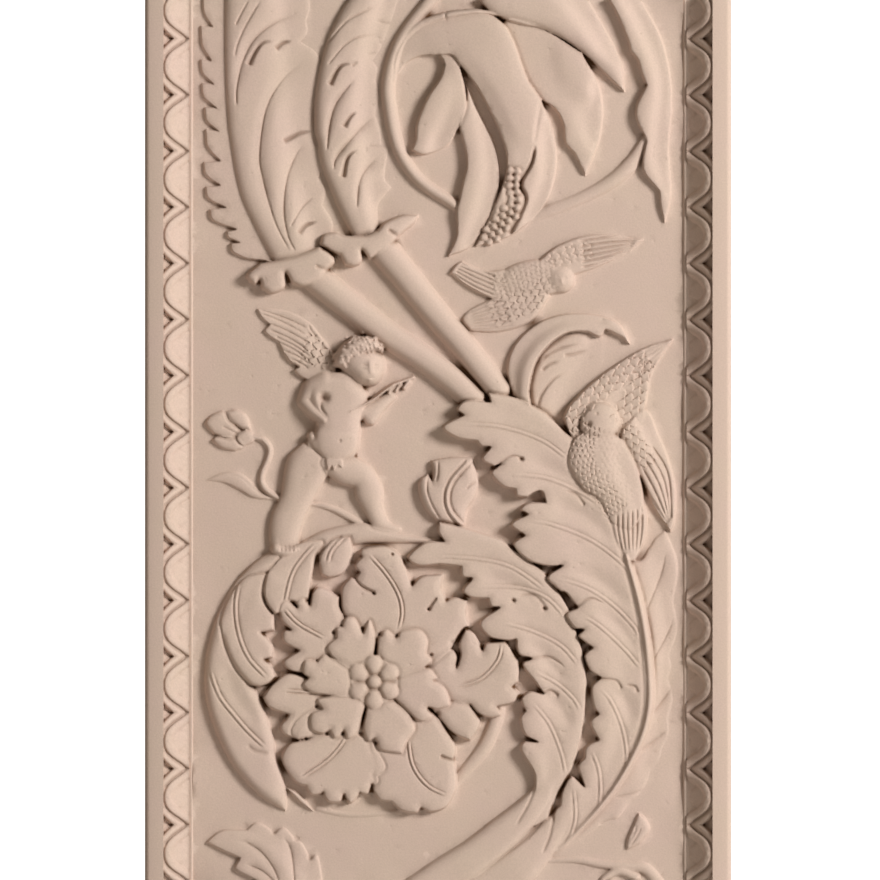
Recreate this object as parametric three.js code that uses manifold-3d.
// Wall relief: a cut length of a pilaster panel, cast in one piece of pale stone.
// Two leaf-and-tongue mouldings frame a sunk field, where an acanthus scroll winds
// round a rosette and round a bunch of fruit pods, with a winged child and two birds.
// Frame: millimetres, +Z up, the carved face looks along -Y.
// The origin is the centre of the flat back, where the panel meets the wall.

import * as THREE from "three";
import { mergeVertices } from "three/addons/utils/BufferGeometryUtils.js";
import Module from "manifold-3d";

const wasm = await Module();
wasm.setup();

// Driving dimensions of the slab and its frame
const PANEL_WIDTH = 584;
const PANEL_LENGTH = 880;
const GROUND_DEPTH = 40;
const FRAME_RISE = 24;
const FILLET_WIDTH = 17;
const MOULDING_WIDTH = 28;
const BEAD_RISE = 2.5;
const ARRIS = 4;
const LEAF_PITCH = 56;
const FIRST_DART = 39;

// The full-size drawing sheet: x to the right, y down, with the panel's left edge
// and top edge at these places. All places of the carving are read on this sheet.
const SHEET_LEFT = 146;
const SHEET_TOP = 0;
const SHEET_RIGHT = SHEET_LEFT + PANEL_WIDTH;
const SHEET_BOTTOM = SHEET_TOP + PANEL_LENGTH;
const SHEET_CENTRE_X = (SHEET_LEFT + SHEET_RIGHT) / 2;
const SHEET_CENTRE_Y = (SHEET_TOP + SHEET_BOTTOM) / 2;

// Carving habits
const SINK = 4;
const EDGE_DROP = 0.22;
const LOW_LEAF = 8;
const THIN_STEM = 8;
const SMALL_BOSS = 16;
const TINY = 1e-4;

const toPanel = ([x, y]) => new THREE.Vector2(x - SHEET_CENTRE_X, SHEET_CENTRE_Y - y);
const level = () => 0;

// A closed solid from points and triangles: coincident points are joined, flat
// triangles dropped, and the whole turned so that its faces point out.
function solidOf(points, triangles) {
  const geometry = new THREE.BufferGeometry();
  geometry.setAttribute("position", new THREE.Float32BufferAttribute(points.flat(), 3));
  geometry.setIndex(triangles.flat());
  return solidOfGeometry(geometry);
}

function solidOfGeometry(geometry) {
  geometry.deleteAttribute("normal");
  geometry.deleteAttribute("uv");
  const merged = mergeVertices(geometry, TINY);
  const vertProperties = new Float32Array(merged.attributes.position.array);
  const index = merged.index.array;
  const kept = [];
  for (let i = 0; i < index.length; i += 3) {
    const [a, b, c] = [index[i], index[i + 1], index[i + 2]];
    if (a !== b && b !== c && a !== c) kept.push([a, b, c]);
  }
  const make = (faces) =>
    new wasm.Manifold(
      new wasm.Mesh({ numProp: 3, vertProperties, triVerts: new Uint32Array(faces.flat()) }),
    );
  const made = make(kept);
  return made.volume() > 0 ? made : make(kept.map(([a, b, c]) => [a, c, b]));
}

// A solid lofted over a spine. Each section is a list of [across, rise] from the
// left edge to the right edge, above the ground of the field; its foot is sunk.
function loft(spine, stations, sectionAt, floor = level, bare = false) {
  const curve = new THREE.SplineCurve(spine.map(toPanel));
  const rings = stations.map((u) => {
    const centre = curve.getPointAt(u);
    const along = curve.getTangentAt(u);
    const base = floor(centre);
    const section = sectionAt(u);
    const footed = [
      [section[0][0], -SINK - base],
      ...section,
      [section[section.length - 1][0], -SINK - base],
    ];
    return (bare ? section : footed).map(([across, rise]) => [
      centre.x - along.y * across,
      -(GROUND_DEPTH + base + rise),
      centre.y + along.x * across,
    ]);
  });
  const sides = rings[0].length;
  const last = (rings.length - 1) * sides;
  const triangles = [];
  for (let r = 0; r + 1 < rings.length; r += 1) {
    for (let k = 0; k < sides; k += 1) {
      const a = r * sides + k;
      const b = r * sides + ((k + 1) % sides);
      triangles.push([a, b, b + sides], [a, b + sides, a + sides]);
    }
  }
  for (let k = 1; k + 1 < sides; k += 1) {
    triangles.push([0, k + 1, k], [last, last + k, last + k + 1]);
  }
  return solidOf(rings.flat(), triangles);
}

// Width of one side of a leaf at u, from a flat list of places and widths.
// Each stretch is a quarter ellipse, so fingers are round and notches sharp.
function sideWidth(side, u) {
  for (let i = 0; i + 3 < side.length; i += 2) {
    const [u0, w0, u1, w1] = side.slice(i, i + 4);
    if (u > u1) continue;
    const [lowU, lowW, highU, highW] = w0 < w1 ? [u0, w0, u1, w1] : [u1, w1, u0, w0];
    const far = (u - highU) / (lowU - highU || 1);
    return lowW + (highW - lowW) * Math.sqrt(Math.max(0, 1 - far * far));
  }
  return side[side.length - 1];
}

const places = (side) => side.filter((_, i) => i % 2 === 0);

// A leaf lobe from its root to its tip: left and right are its outline, and the
// rise of its middle goes from rootRise to tipRise, with edges a little lower.
// A low leaf has no standing edge: it dies out into the ground.
function lobe(spine, left, right, rootRise, tipRise) {
  const wanted = [...places(left), ...places(right)].sort((a, b) => a - b);
  const stations = wanted.filter((u, i) => i === 0 || u - wanted[i - 1] > 0.055);
  stations[stations.length - 1] = 1;
  const low = Math.max(rootRise, tipRise) <= LOW_LEAF;
  const section = (u) => {
    const middle = rootRise + (tipRise - rootRise) * u;
    const edge = low ? -1 : middle * (1 - EDGE_DROP);
    return [[sideWidth(left, u), edge], [0, middle], [-sideWidth(right, u), edge]];
  };
  return loft(spine, stations, section, level, low);
}

const even = (values, u) => {
  const at = u * (values.length - 1);
  const i = Math.min(Math.floor(at), values.length - 2);
  return values[i] + (values[i + 1] - values[i]) * (at - i);
};

// A round form over a spine: half widths and rises are given at even steps.
function round(spine, widths, rises, steps = widths.length - 1, floor = level) {
  const stations = Array.from({ length: steps + 1 }, (_, i) => i / steps);
  const thin = Math.max(...widths) < THIN_STEM;
  return loft(
    spine,
    stations,
    (u) => {
      const w = even(widths, u);
      const h = even(rises, u);
      const crown = thin ? [[0, h]] : [[w * 0.6, h * 0.88], [-w * 0.6, h * 0.88]];
      return [[w, h * 0.3], ...crown, [-w, h * 0.3]];
    },
    floor,
  );
}

// A domed boss on the sheet at x, y with half sizes and a turn in degrees.
function boss(x, y, halfLong, halfShort, turn, rise) {
  const small = halfLong < SMALL_BOSS;
  const crown = small ? [[0.8, 0.68]] : [[0.94, 0.4], [0.55, 0.86]];
  const dome = [[0, -SINK / rise], [1, -SINK / rise], ...crown, [0, 1]];
  const outline = dome.map(([r, h]) => new THREE.Vector2(r, h));
  const geometry = new THREE.LatheGeometry(outline, small ? 6 : 8);
  geometry.rotateX(Math.PI);
  geometry.scale(halfLong, rise, halfShort);
  geometry.rotateY(THREE.MathUtils.degToRad(turn));
  const { x: px, y: pz } = toPanel([x, y]);
  geometry.translate(px, -GROUND_DEPTH, pz);
  return solidOfGeometry(geometry);
}

// Points of an arc on the sheet; angles run from +x towards +y, in degrees.
function arc(cx, cy, radius, from, to, steps) {
  return Array.from({ length: steps + 1 }, (_, i) => {
    const a = THREE.MathUtils.degToRad(from + ((to - from) * i) / steps);
    return [cx + radius * Math.cos(a), cy + radius * Math.sin(a)];
  });
}

// Slab, fillets and the sloping beds of the two mouldings, as one extrusion.
function panelBody() {
  const half = PANEL_WIDTH / 2;
  const top = GROUND_DEPTH + FRAME_RISE;
  const bedOuter = half - FILLET_WIDTH;
  const profile = [
    [half, 0],
    [half, top - ARRIS],
    [half - ARRIS * 0.3, top - ARRIS * 0.3],
    [half - ARRIS, top],
    [bedOuter, top],
    [bedOuter, GROUND_DEPTH],
  ];
  const mirrored = [...profile].reverse().map(([x, depth]) => [-x, depth]);
  const shape = new THREE.Shape(
    [...profile, ...mirrored].map(([x, depth]) => new THREE.Vector2(x, -depth)),
  );
  const geometry = new THREE.ExtrudeGeometry(shape, { depth: PANEL_LENGTH, bevelEnabled: false });
  geometry.translate(0, 0, -PANEL_LENGTH / 2);
  return solidOfGeometry(geometry);
}

// Leaf and tongue, one run along each side: over each pitch a raised rib swings out
// from the bead to the fillet and back, round the boss of a leaf, between two darts.
function mouldings() {
  const inner = PANEL_WIDTH / 2 - FILLET_WIDTH - MOULDING_WIDTH;
  const columns = [
    [0, [-1, -1, -1]],
    [0.001, [BEAD_RISE, BEAD_RISE, BEAD_RISE]],
    [0.3, [8, 6, 9.5]],
    [0.68, [9.5, 17, 14]],
    [1.03, [12, 20, 22]],
    [1.03, [-1, -1, -1]],
  ];
  const shares = [[0, 0], [0.23, 1], [0.5, 2], [0.77, 1]];
  const rows = [];
  for (let y = FIRST_DART - LEAF_PITCH; y < SHEET_BOTTOM; y += LEAF_PITCH) {
    shares.forEach(([share, kind]) => rows.push([y + share * LEAF_PITCH, kind]));
  }
  const top = rows[0][0];
  const long = rows[rows.length - 1][0] - top;
  const stations = rows.map(([y]) => (y - top) / long);
  return [-1, 1].map((side) => {
    const x = SHEET_CENTRE_X + side * inner;
    const section = (u) => {
      const kind = rows[stations.indexOf(u)][1];
      return columns.map(([share, rises]) => [side * share * MOULDING_WIDTH, rises[kind]]);
    };
    return loft([[x, top], [x, top + long]], stations, section, level, true);
  });
}

// The great acanthus leaf on the right: its lobes, from the top one down.
function greatLeaf() {
  const rib = [[556, 850], [595, 812], [630, 760], [647, 710], [648, 665], [641, 620], [628, 563]];
  const made = [
    lobe([[600, 488], [548, 446], [500, 429], [442, 426]],
      [0, 20, 0.6, 24, 0.7, 16, 0.8, 15, 1, 0],
      [0, 26, 0.45, 32, 0.62, 36, 0.69, 28, 0.78, 28, 0.87, 12, 0.93, 11, 1, 0], 10, 20),
    lobe([[590, 492], [530, 461], [480, 456]], [0, 12, 0.7, 11, 1, 0], [0, 12, 0.7, 11, 1, 0], 9, 17),
    lobe([[628, 530], [590, 498], [545, 478], [491, 473]],
      [0, 20, 0.55, 23, 0.75, 22, 0.82, 13, 0.9, 11, 1, 0],
      [0, 18, 0.6, 17, 0.85, 9, 1, 0], 10, 19),
    lobe([[642, 580], [595, 541], [552, 525], [509, 523]],
      [0, 28, 0.5, 36, 0.66, 37, 0.8, 31, 0.88, 10, 0.94, 9, 1, 0],
      [0, 25, 0.5, 31, 0.72, 26, 0.82, 20, 0.88, 10, 0.94, 9, 1, 0], 10, 20),
    lobe([[646, 640], [618, 602], [585, 584], [545, 577]],
      [0, 18, 0.45, 18, 0.6, 15, 0.75, 15, 0.82, 9, 1, 0],
      [0, 14, 0.5, 16, 0.8, 10, 1, 0], 9, 18),
    lobe([[649, 675], [622, 637], [596, 619], [564, 613]],
      [0, 26, 0.4, 34, 0.6, 30, 0.66, 20, 0.74, 22, 0.8, 11, 0.92, 9, 1, 0],
      [0, 16, 0.5, 18, 0.8, 13, 1, 0], 9, 19),
    lobe([[628, 790], [626, 740], [613, 705], [590, 680]],
      [0, 16, 0.4, 22, 0.52, 24, 0.59, 16, 0.68, 20, 0.76, 12, 0.88, 11, 1, 0],
      [0, 12, 0.5, 18, 0.8, 16, 1, 0], 8, 19),
    lobe([[596, 825], [603, 788], [598, 760], [586, 736]],
      [0, 12, 0.3, 18, 0.42, 16, 0.56, 24, 0.72, 11, 0.88, 10, 1, 0],
      [0, 14, 0.5, 18, 0.85, 10, 1, 0], 8, 18),
    lobe([[558, 852], [575, 825], [578, 800], [572, 775]],
      [0, 8, 0.3, 16, 0.58, 20, 0.68, 11, 0.85, 9, 1, 0],
      [0, 12, 0.5, 16, 0.85, 9, 1, 0], 7, 16),
    lobe([[575, 835], [625, 770], [642, 700], [632, 600], [590, 480], [560, 430]],
      [0, 10, 0.25, 34, 0.5, 46, 0.8, 44, 1, 22],
      [0, 6, 0.5, 9, 0.8, 20, 1, 14], 7, 9),
    round(rib, [2, 3.5, 4.5, 5, 5, 5, 4], [8, 11, 12, 12, 12, 12, 11]),
  ];
  const farSide = [
    [[641, 605], [654, 570], [668, 532]],
    [[649, 655], [664, 625], [679, 596]],
    [[650, 712], [664, 683], [678, 652]],
    [[645, 738], [661, 715], [676, 688]],
    [[632, 762], [655, 742], [672, 718]],
    [[614, 788], [642, 772], [662, 750]],
    [[590, 815], [622, 803], [644, 784]],
    [[568, 840], [600, 831], [624, 816]],
  ];
  const slimSide = [0, 8, 0.5, 14, 0.82, 9, 1, 0];
  farSide.forEach((spine, i) => made.push(lobe(spine, slimSide, slimSide, 8 - i * 0.4, 4 - i * 0.3)));
  return made;
}

// The nearer leaf on the scroll's stem, left of the great one, and the stem itself.
function nearLeaf() {
  return [
    round([[400, 908], [470, 862], [515, 825], [546, 790], [556, 765]], [21, 20, 18, 15, 10], [11, 11, 11, 10, 8]),
    lobe([[585, 625], [535, 575], [470, 559], [407, 558]],
      [0, 18, 0.5, 20, 0.7, 20, 0.77, 7, 0.9, 7, 1, 0],
      [0, 14, 0.3, 20, 0.5, 30, 0.68, 33, 0.79, 32, 0.83, 14, 0.92, 12, 1, 0], 10, 19),
    lobe([[590, 655], [556, 606], [515, 590], [462, 592]],
      [0, 18, 0.5, 16, 0.78, 14, 0.85, 7, 0.93, 6, 1, 0],
      [0, 16, 0.5, 18, 0.8, 14, 0.93, 9, 1, 0], 9, 18),
    lobe([[598, 690], [562, 642], [525, 626], [479, 622]],
      [0, 18, 0.42, 25, 0.6, 28, 0.73, 23, 0.79, 12, 0.9, 10, 1, 0],
      [0, 16, 0.5, 22, 0.75, 22, 0.87, 15, 0.94, 9, 1, 0], 10, 19),
    lobe([[590, 735], [572, 692], [548, 676], [521, 665]],
      [0, 10, 0.4, 14, 0.65, 14, 0.8, 9, 1, 0],
      [0, 12, 0.5, 14, 0.8, 11, 1, 0], 9, 17),
    lobe([[548, 830], [563, 785], [555, 740], [524, 694]],
      [0, 24, 0.2, 27, 0.42, 29, 0.58, 32, 0.66, 29, 0.71, 16, 0.79, 21, 0.87, 8, 0.93, 7, 1, 0],
      [0, 6, 0.3, 8, 0.5, 20, 0.68, 26, 0.85, 18, 1, 0], 10, 19),
  ];
}

// The curled leaf above the great leaf, behind the perched bird.
function curledLeaf() {
  return [
    lobe([[528, 408], [514, 372], [524, 342], [552, 322], [592, 318], [629, 344]],
      [0, 8, 0.3, 8, 0.6, 6, 0.85, 5, 1, 0],
      [0, 6, 0.3, 12, 0.5, 15, 0.7, 11, 0.8, 12, 0.86, 5, 1, 0], 12, 7),
    lobe([[540, 412], [541, 380], [560, 352], [592, 338]],
      [0, 8, 0.5, 12, 0.8, 8, 1, 0],
      [0, 14, 0.4, 26, 0.6, 24, 0.68, 14, 0.85, 12, 1, 0], 8, 4),
    lobe([[548, 416], [562, 392], [590, 376]], [0, 8, 0.5, 10, 1, 0], [0, 10, 0.5, 14, 1, 0], 6, 3),
  ];
}

// The tall leaf at the top left, with a toothed outer edge and five inner lobes.
function tallLeaf() {
  const teeth = 13;
  const toothed = [0, 10, 0.07, 26];
  for (let i = 1; i <= teeth; i += 1) {
    const u = 0.07 + (0.93 * i) / teeth;
    const reach = 26 + 9 * Math.sin(Math.PI * Math.min(1, u * 1.6));
    toothed.push(u - 0.03, reach, u, reach - 5);
  }
  return [
    lobe([[290, 258], [258, 215], [236, 165], [229, 110], [229, 55], [240, -10]],
      toothed, [0, 8, 0.3, 16, 1, 16], 9, 9),
    lobe([[290, 250], [298, 222], [322, 196]],
      [0, 6, 0.5, 8, 0.8, 7, 1, 0], [0, 10, 0.4, 23, 0.7, 21, 0.8, 12, 1, 0], 9, 5),
    lobe([[290, 252], [283, 205], [290, 168], [313, 142]],
      [0, 5, 0.5, 10, 0.8, 8, 1, 0],
      [0, 8, 0.4, 20, 0.6, 24, 0.66, 17, 0.85, 16, 1, 0], 11, 6),
    lobe([[289, 252], [266, 205], [261, 155], [275, 100], [314, 56]],
      [0, 6, 0.3, 20, 0.5, 24, 0.7, 26, 0.85, 31, 0.94, 20, 1, 0],
      [0, 5, 0.3, 12, 0.5, 22, 0.65, 28, 0.8, 28, 0.92, 18, 1, 0], 12, 8),
    lobe([[240, 115], [240, 80], [256, 45], [285, 20], [314, 6]],
      [0, 4, 0.4, 10, 0.7, 14, 1, 0], [0, 4, 0.4, 8, 0.7, 20, 0.9, 16, 1, 0], 11, 6),
    lobe([[236, 70], [242, 35], [262, -5], [285, -30]],
      [0, 4, 0.5, 10, 1, 10], [0, 4, 0.5, 16, 1, 22], 11, 8),
  ];
}

// The second leaf of the pair: a smooth hollow edge and five lobes that fade out.
function fadingLeaf() {
  return [
    lobe([[362, 240], [340, 200], [326, 155], [322, 110], [328, 65], [345, 20], [362, -12]],
      [0, 9, 0.2, 8, 0.5, 7, 0.8, 7, 1, 8], [0, 12, 0.2, 18, 0.5, 20, 0.8, 26, 1, 30], 11, 8),
    lobe([[352, 225], [355, 190], [368, 168], [394, 150]],
      [0, 6, 0.4, 10, 0.7, 12, 0.9, 8, 1, 0],
      [0, 10, 0.3, 18, 0.55, 24, 0.62, 17, 0.85, 15, 1, 0], 12, 5),
    lobe([[338, 190], [340, 160], [358, 135], [382, 112]],
      [0, 5, 0.4, 8, 0.7, 10, 1, 0], [0, 5, 0.4, 10, 0.7, 14, 0.9, 10, 1, 0], 12, 5),
    lobe([[328, 160], [331, 122], [348, 92], [379, 62]],
      [0, 5, 0.4, 10, 0.7, 14, 0.9, 9, 1, 0], [0, 5, 0.4, 12, 0.7, 20, 0.9, 14, 1, 0], 12, 5),
    lobe([[328, 85], [340, 52], [368, 36], [402, 30]],
      [0, 5, 0.5, 12, 0.8, 12, 1, 0], [0, 4, 0.5, 10, 0.8, 14, 1, 0], 11, 5),
    lobe([[333, 45], [352, 18], [385, 2], [412, -6]],
      [0, 5, 0.5, 12, 1, 6], [0, 4, 0.5, 14, 0.8, 14, 1, 4], 11, 5),
  ];
}

// The two straight stalks, with a frilled collar where each leaf springs.
function stalks() {
  return [
    round([[310, 274], [352, 316], [408, 352], [482, 404]], [14, 13, 12, 12], [13, 13, 13, 10]),
    round([[380, 244], [410, 284], [450, 331], [506, 404]], [13, 12, 12, 11], [13, 13, 13, 10]),
    round([[250, 276], [290, 263], [333, 254]], [9, 12, 8], [13, 17, 13]),
    boss(268, 278, 18, 14, 10, 17),
    boss(301, 272, 17, 14, 20, 18),
    boss(323, 263, 13, 12, 0, 17),
    round([[324, 246], [358, 242], [390, 233], [419, 219]], [8, 10, 9, 3], [13, 17, 14, 7]),
    boss(339, 252, 13, 13, 0, 16),
    boss(366, 249, 15, 12, 10, 17),
  ];
}

// The ringed tendril and the bunch of pods that hangs in it.
function fruitPods() {
  const ring = [513, 98, 127];
  return [
    round(arc(...ring, 114, 236, 6), [6, 6.5, 6.5, 6], [7, 8, 8, 7], 6),
    round(arc(...ring, 86, 14, 4), [5, 7, 7, 7], [2, 4, 5, 6], 3),
    round([[400, 42], [424, 25], [450, 16], [484, 14]], [4, 6, 9, 9], [7, 9, 12, 14]),
    round([[438, 44], [455, 72], [449, 108], [432, 136], [412, 153]], [5, 13, 18, 15, 1], [10, 13, 13, 11, 4], 5),
    round([[455, 52], [470, 106], [483, 158], [475, 210], [447, 256]], [6, 9, 18, 17, 1], [12, 16, 17, 15, 5], 6),
    round([[448, 26], [490, 60], [515, 105], [524, 150], [510, 200], [477, 247]],
      [9, 20, 24, 20, 15, 1], [16, 20, 21, 20, 14, 4], 6),
    round([[528, 90], [546, 135], [545, 180], [511, 238]], [6, 12, 13, 1], [14, 17, 16, 5], 5),
    round([[485, 18], [530, 52], [568, 88], [584, 128], [584, 176]], [8, 24, 27, 19, 1], [14, 17, 17, 16, 5], 6),
    round([[478, 2], [540, 6], [592, 34], [624, 94]], [8, 27, 25, 1], [14, 19, 18, 5], 5),
    round([[604, -25], [640, 35], [656, 85], [652, 115], [656, 140], [651, 168], [664, 196], [667, 223]],
      [18, 19, 13, 16, 10, 15, 8, 1], [16, 18, 16, 17, 14, 16, 12, 5], 9),
  ];
}

// The rosette: ragged outer leaves, a ring of petals and a knot of buds.
function rosette() {
  const centre = [374, 681];
  const made = [
    lobe([[345, 655], [318, 630], [283, 606]],
      [0, 20, 0.35, 36, 0.5, 34, 0.57, 22, 0.7, 28, 0.78, 16, 0.9, 13, 1, 0],
      [0, 14, 0.4, 30, 0.6, 32, 0.67, 20, 0.83, 20, 0.9, 9, 1, 0], 9, 14),
    lobe([[396, 640], [402, 605], [390, 575], [361, 548]],
      [0, 30, 0.3, 44, 0.6, 36, 0.68, 22, 0.8, 22, 0.88, 11, 1, 0],
      [0, 10, 0.4, 14, 0.7, 16, 0.85, 12, 1, 0], 9, 14),
    lobe([[405, 655], [430, 620], [458, 588]],
      [0, 14, 0.5, 24, 0.75, 20, 0.85, 10, 1, 0],
      [0, 14, 0.4, 26, 0.6, 28, 0.67, 18, 0.85, 16, 1, 0], 9, 12),
    lobe([[425, 690], [470, 685], [498, 664], [507, 639]],
      [0, 20, 0.3, 40, 0.48, 44, 0.56, 22, 0.72, 24, 0.82, 9, 1, 0],
      [0, 16, 0.3, 26, 0.5, 36, 0.58, 26, 0.75, 26, 0.9, 12, 1, 0], 9, 13),
    lobe([[405, 735], [412, 765], [430, 787], [457, 797]],
      [0, 22, 0.4, 36, 0.6, 32, 0.68, 22, 0.85, 17, 1, 0],
      [0, 10, 0.5, 20, 0.8, 12, 1, 0], 8, 12),
    lobe([[385, 745], [398, 780], [412, 812]],
      [0, 20, 0.5, 36, 0.8, 28, 1, 0], [0, 14, 0.5, 22, 0.6, 16, 0.8, 15, 1, 0], 8, 10),
    lobe([[352, 730], [332, 757], [299, 781]],
      [0, 14, 0.3, 44, 0.42, 47, 0.48, 38, 0.62, 42, 0.68, 30, 0.82, 26, 0.88, 14, 1, 0],
      [0, 12, 0.4, 36, 0.7, 30, 0.88, 14, 1, 0], 10, 14),
    lobe([[330, 690], [295, 692], [260, 695]],
      [0, 24, 0.5, 26, 0.62, 13, 0.8, 12, 1, 0], [0, 16, 0.5, 18, 0.8, 13, 1, 0], 9, 13),
  ];
  const petal = [0, 9, 0.5, 24, 0.68, 27, 0.77, 17, 1, 0];
  for (const degrees of [117, 50, -10, -70, -138, 173]) {
    const a = THREE.MathUtils.degToRad(degrees);
    const along = (r) => [centre[0] + r * Math.cos(a), centre[1] - r * Math.sin(a)];
    made.push(lobe([along(10), along(40), along(72)], petal, petal, 14, 18));
  }
  made.push(boss(...centre, 8, 8, 0, 23));
  for (let i = 0; i < 6; i += 1) {
    const a = THREE.MathUtils.degToRad(30 + 60 * i);
    made.push(boss(centre[0] + 18.5 * Math.sin(a), centre[1] - 18.5 * Math.cos(a), 10.5, 10, 0, 22));
  }
  return made;
}

// The leaf that wraps the rosette on the left, and the ring that carries it.
function wrappingLeaf() {
  const ring = [372, 686, 125];
  return [
    round(arc(...ring, 132, 48, 5), [5, 5, 5], [3, 3, 4], 6),
    round(arc(...ring, 48, 0, 3), [6, 7, 7], [5, 8, 8], 3),
    round([[296, 548], [330, 535], [370, 531], [410, 533], [450, 538]], [11, 9, 8, 8, 7], [10, 9, 8, 7, 6]),
    lobe([[302, 546], [262, 565], [232, 600], [216, 650], [216, 700], [236, 752], [285, 810]],
      [0, 20, 0.15, 24, 0.3, 22, 0.5, 20, 0.7, 22, 0.85, 18, 0.95, 9, 1, 0],
      [0, 9, 0.2, 10, 0.5, 9, 0.75, 9, 0.9, 7, 1, 0], 10, 8),
    lobe([[320, 540], [299, 562], [287, 583], [279, 614]],
      [0, 6, 0.4, 18, 0.7, 14, 1, 0], [0, 10, 0.4, 22, 0.7, 18, 0.9, 9, 1, 0], 13, 12),
    lobe([[340, 538], [330, 556], [320, 576]], [0, 10, 0.5, 12, 1, 0], [0, 6, 0.5, 8, 1, 0], 10, 8),
    lobe([[252, 572], [236, 608], [243, 645], [274, 683]],
      [0, 6, 0.3, 26, 0.48, 31, 0.54, 23, 0.66, 25, 0.74, 15, 0.9, 10, 1, 0],
      [0, 4, 0.3, 12, 0.6, 16, 0.85, 12, 1, 0], 13, 13),
    lobe([[209, 662], [224, 702], [248, 732], [273, 753]],
      [0, 4, 0.3, 28, 0.55, 30, 0.8, 18, 1, 0], [0, 2, 0.4, 8, 0.8, 8, 1, 0], 11, 12),
    lobe([[284, 786], [300, 798], [316, 812]], [0, 5, 0.5, 6, 1, 0], [0, 5, 0.5, 5, 1, 0], 6, 3),
  ];
}

// Small growths on the ground: a flower, a twig, buds and the leaf below.
function sprigs() {
  const tulip = [
    [221, 424, 15, 11, 10],
    [240, 420, 13, 8, -25],
    [227, 444, 13, 7, -15],
    [246, 437, 9, 8, 0],
  ];
  return [
    ...tulip.map(([x, y, a, b, turn]) => boss(x, y, a, b, turn, 6)),
    round([[284, 502], [266, 488], [259, 473], [265, 455], [268, 443], [255, 435]], [4, 3.5, 3.5, 3.5, 3.5, 3.5], [4, 4, 4, 4, 4, 4]),
    lobe([[281, 501], [248, 489], [207, 481]], [0, 2, 0.4, 8, 0.7, 6, 1, 0], [0, 2, 0.4, 12, 0.7, 10, 1, 0], 5, 4),
    round([[302, 505], [325, 507], [345, 515], [368, 527]], [2, 3, 3.5, 3.5], [2, 3, 3, 3]),
    round([[462, 534], [448, 502], [449, 476], [457, 456]], [6, 25, 27, 15], [12, 16, 17, 12], 5),
    lobe([[440, 526], [428, 500], [437, 462]], [0, 4, 0.4, 9, 0.8, 6, 1, 0], [0, 4, 0.5, 8, 1, 0], 15, 14),
    lobe([[310, 905], [272, 862], [240, 845], [206, 841]],
      [0, 8, 0.4, 12, 0.6, 14, 0.68, 7, 0.85, 5, 1, 0], [0, 12, 0.4, 20, 0.62, 20, 0.68, 12, 0.85, 12, 1, 0], 8, 5),
    lobe([[310, 905], [268, 881], [233, 864]], [0, 6, 0.5, 9, 1, 0], [0, 6, 0.5, 9, 1, 0], 7, 5),
    lobe([[310, 905], [292, 862], [264, 820]], [0, 10, 0.5, 16, 0.8, 12, 1, 0], [0, 10, 0.5, 16, 0.8, 12, 1, 0], 8, 5),
    lobe([[312, 905], [306, 866], [288, 828]], [0, 8, 0.5, 10, 1, 0], [0, 8, 0.5, 10, 1, 0], 8, 4),
    lobe([[314, 905], [318, 876], [312, 850]], [0, 6, 0.5, 7, 1, 0], [0, 6, 0.5, 8, 1, 0], 7, 4),
    lobe([[621, 853], [630, 835], [638, 811]], [0, 3, 0.5, 5, 1, 0], [0, 4, 0.5, 10, 0.8, 7, 1, 0], 7, 6),
    round([[530, 858], [575, 857], [605, 863], [632, 867], [664, 886]], [2, 4, 5, 5, 5], [2, 4, 5, 5, 4]),
    boss(618, 892, 31, 25, 0, 6),
  ];
}

// The flying bird above and the perched bird at the right.
function birds() {
  return [
    round([[498, 291], [530, 284], [562, 276]], [8, 19, 11], [7, 12, 10], 4),
    boss(563, 274, 13, 12, 0, 14),
    lobe([[506, 290], [480, 281], [452, 270]], [0, 7, 0.6, 9, 0.9, 9, 1, 6], [0, 7, 0.6, 11, 0.9, 11, 1, 7], 7, 6),
    round([[550, 298], [510, 308], [463, 318]], [12, 19, 9], [7, 8, 5], 4),
    round([[555, 268], [595, 255], [644, 237]], [11, 15, 2], [8, 6, 4], 4),
    lobe([[588, 432], [600, 394], [632, 366], [673, 339]],
      [0, 22, 0.2, 23, 0.5, 12, 0.8, 6, 1, 0], [0, 20, 0.3, 34, 0.5, 36, 0.6, 18, 0.8, 10, 1, 0], 9, 5),
    lobe([[612, 425], [646, 450], [662, 490], [668, 531]],
      [0, 12, 0.3, 14, 0.6, 9, 1, 0], [0, 12, 0.3, 16, 0.6, 16, 0.85, 9, 1, 0], 9, 6),
    round([[590, 428], [601, 468], [621, 512]], [18, 30, 14], [14, 18, 12], 5),
    boss(595, 423, 19, 18, 0, 20),
    lobe([[616, 498], [626, 530], [631, 562]], [0, 16, 0.5, 14, 0.9, 9, 1, 5], [0, 16, 0.5, 15, 0.9, 11, 1, 6], 13, 9),
  ];
}

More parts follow.
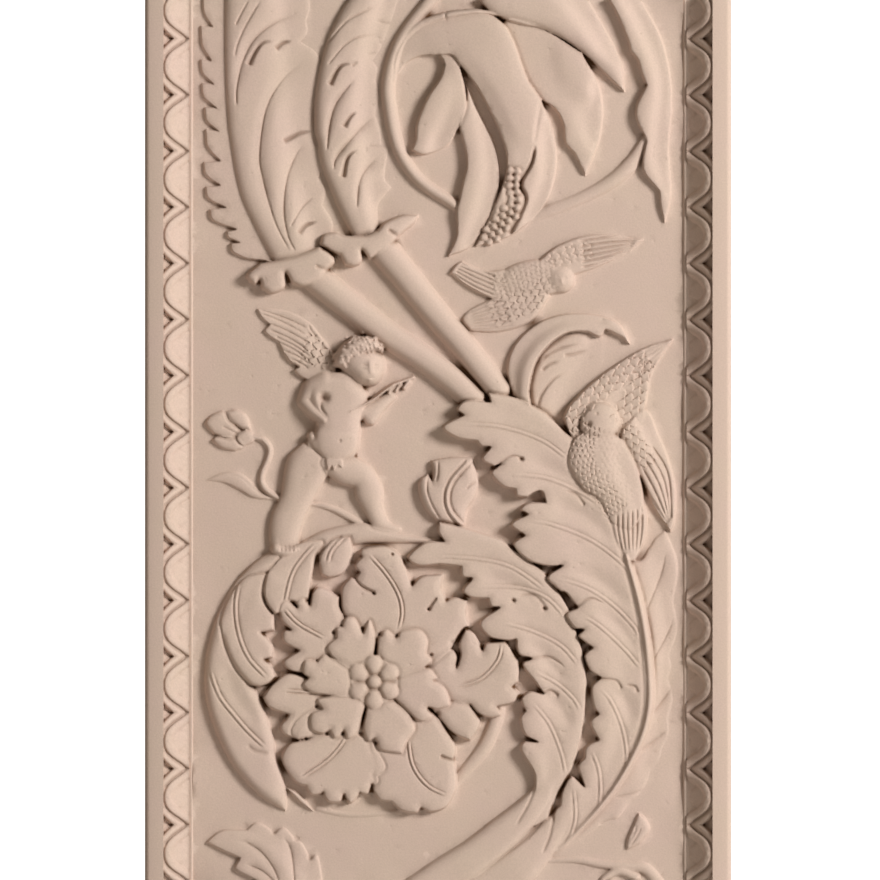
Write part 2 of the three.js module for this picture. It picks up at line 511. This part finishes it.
// The winged child, striding on the scroll, with a short rod in the hand.
function wingedChild() {
  const onBody = () => 10;
  return [
    lobe([[332, 370], [300, 345], [256, 308]],
      [0, 14, 0.3, 20, 0.5, 18, 0.58, 12, 0.75, 12, 0.84, 5, 1, 0],
      [0, 10, 0.4, 14, 0.7, 12, 0.9, 6, 1, 0], 8, 5),
    round([[336, 376], [339, 408], [333, 440], [334, 466]], [24, 31, 27, 22], [17, 19, 19, 16], 4),
    boss(359, 361, 24, 25, 0, 25),
    round([[322, 376], [302, 392], [298, 414]], [13, 14, 10], [16, 14, 12], 3),
    round([[298, 411], [310, 422], [330, 428]], [10, 10, 8], [12, 16, 18], 2),
    round([[352, 392], [370, 415], [380, 410], [400, 390]], [11, 11, 9, 5], [15, 12, 10, 7], 4),
    round([[342, 414], [390, 389], [415, 377]], [3, 2.5, 2], [9, 6, 1], 2, onBody),
    round([[322, 450], [307, 486], [293, 520], [283, 551]], [23, 25, 20, 12], [15, 14, 12, 11], 5),
    round([[283, 547], [297, 546]], [11, 7], [12, 11]),
    round([[334, 462], [360, 470], [377, 488]], [20, 19, 13], [15, 14, 12], 3),
    round([[377, 482], [377, 505], [374, 526]], [13, 12, 8], [12, 11, 10], 3),
    round([[372, 525], [388, 530], [403, 530]], [7, 6, 3], [10, 8, 6]),
    boss(335, 464, 10, 8, 0, 17),
  ];
}

// The whole panel, cut square at its two ends.
function panel() {
  const carving = [
    ...mouldings(), ...greatLeaf(), ...nearLeaf(), ...curledLeaf(), ...tallLeaf(), ...fadingLeaf(),
    ...stalks(), ...fruitPods(), ...rosette(), ...wrappingLeaf(), ...sprigs(), ...birds(), ...wingedChild(),
  ];
  const whole = wasm.Manifold.union([panelBody(), ...carving]);
  const block = new THREE.BoxGeometry(PANEL_WIDTH, 4 * GROUND_DEPTH, PANEL_LENGTH);
  const cut = whole.intersect(solidOfGeometry(block));
  const { vertProperties, triVerts } = cut.getMesh();
  const geometry = new THREE.BufferGeometry();
  geometry.setAttribute("position", new THREE.BufferAttribute(vertProperties, 3));
  geometry.setIndex(new THREE.BufferAttribute(triVerts, 1));
  geometry.computeVertexNormals();
  return geometry;
}

const castStone = new THREE.MeshStandardMaterial({ color: 0xcab09c, roughness: 0.85, metalness: 0 });
const reliefPanel = new THREE.Mesh(panel(), castStone);
reliefPanel.name = "relief_panel";

const wallRelief = new THREE.Group();
wallRelief.add(reliefPanel);

export default wallRelief;
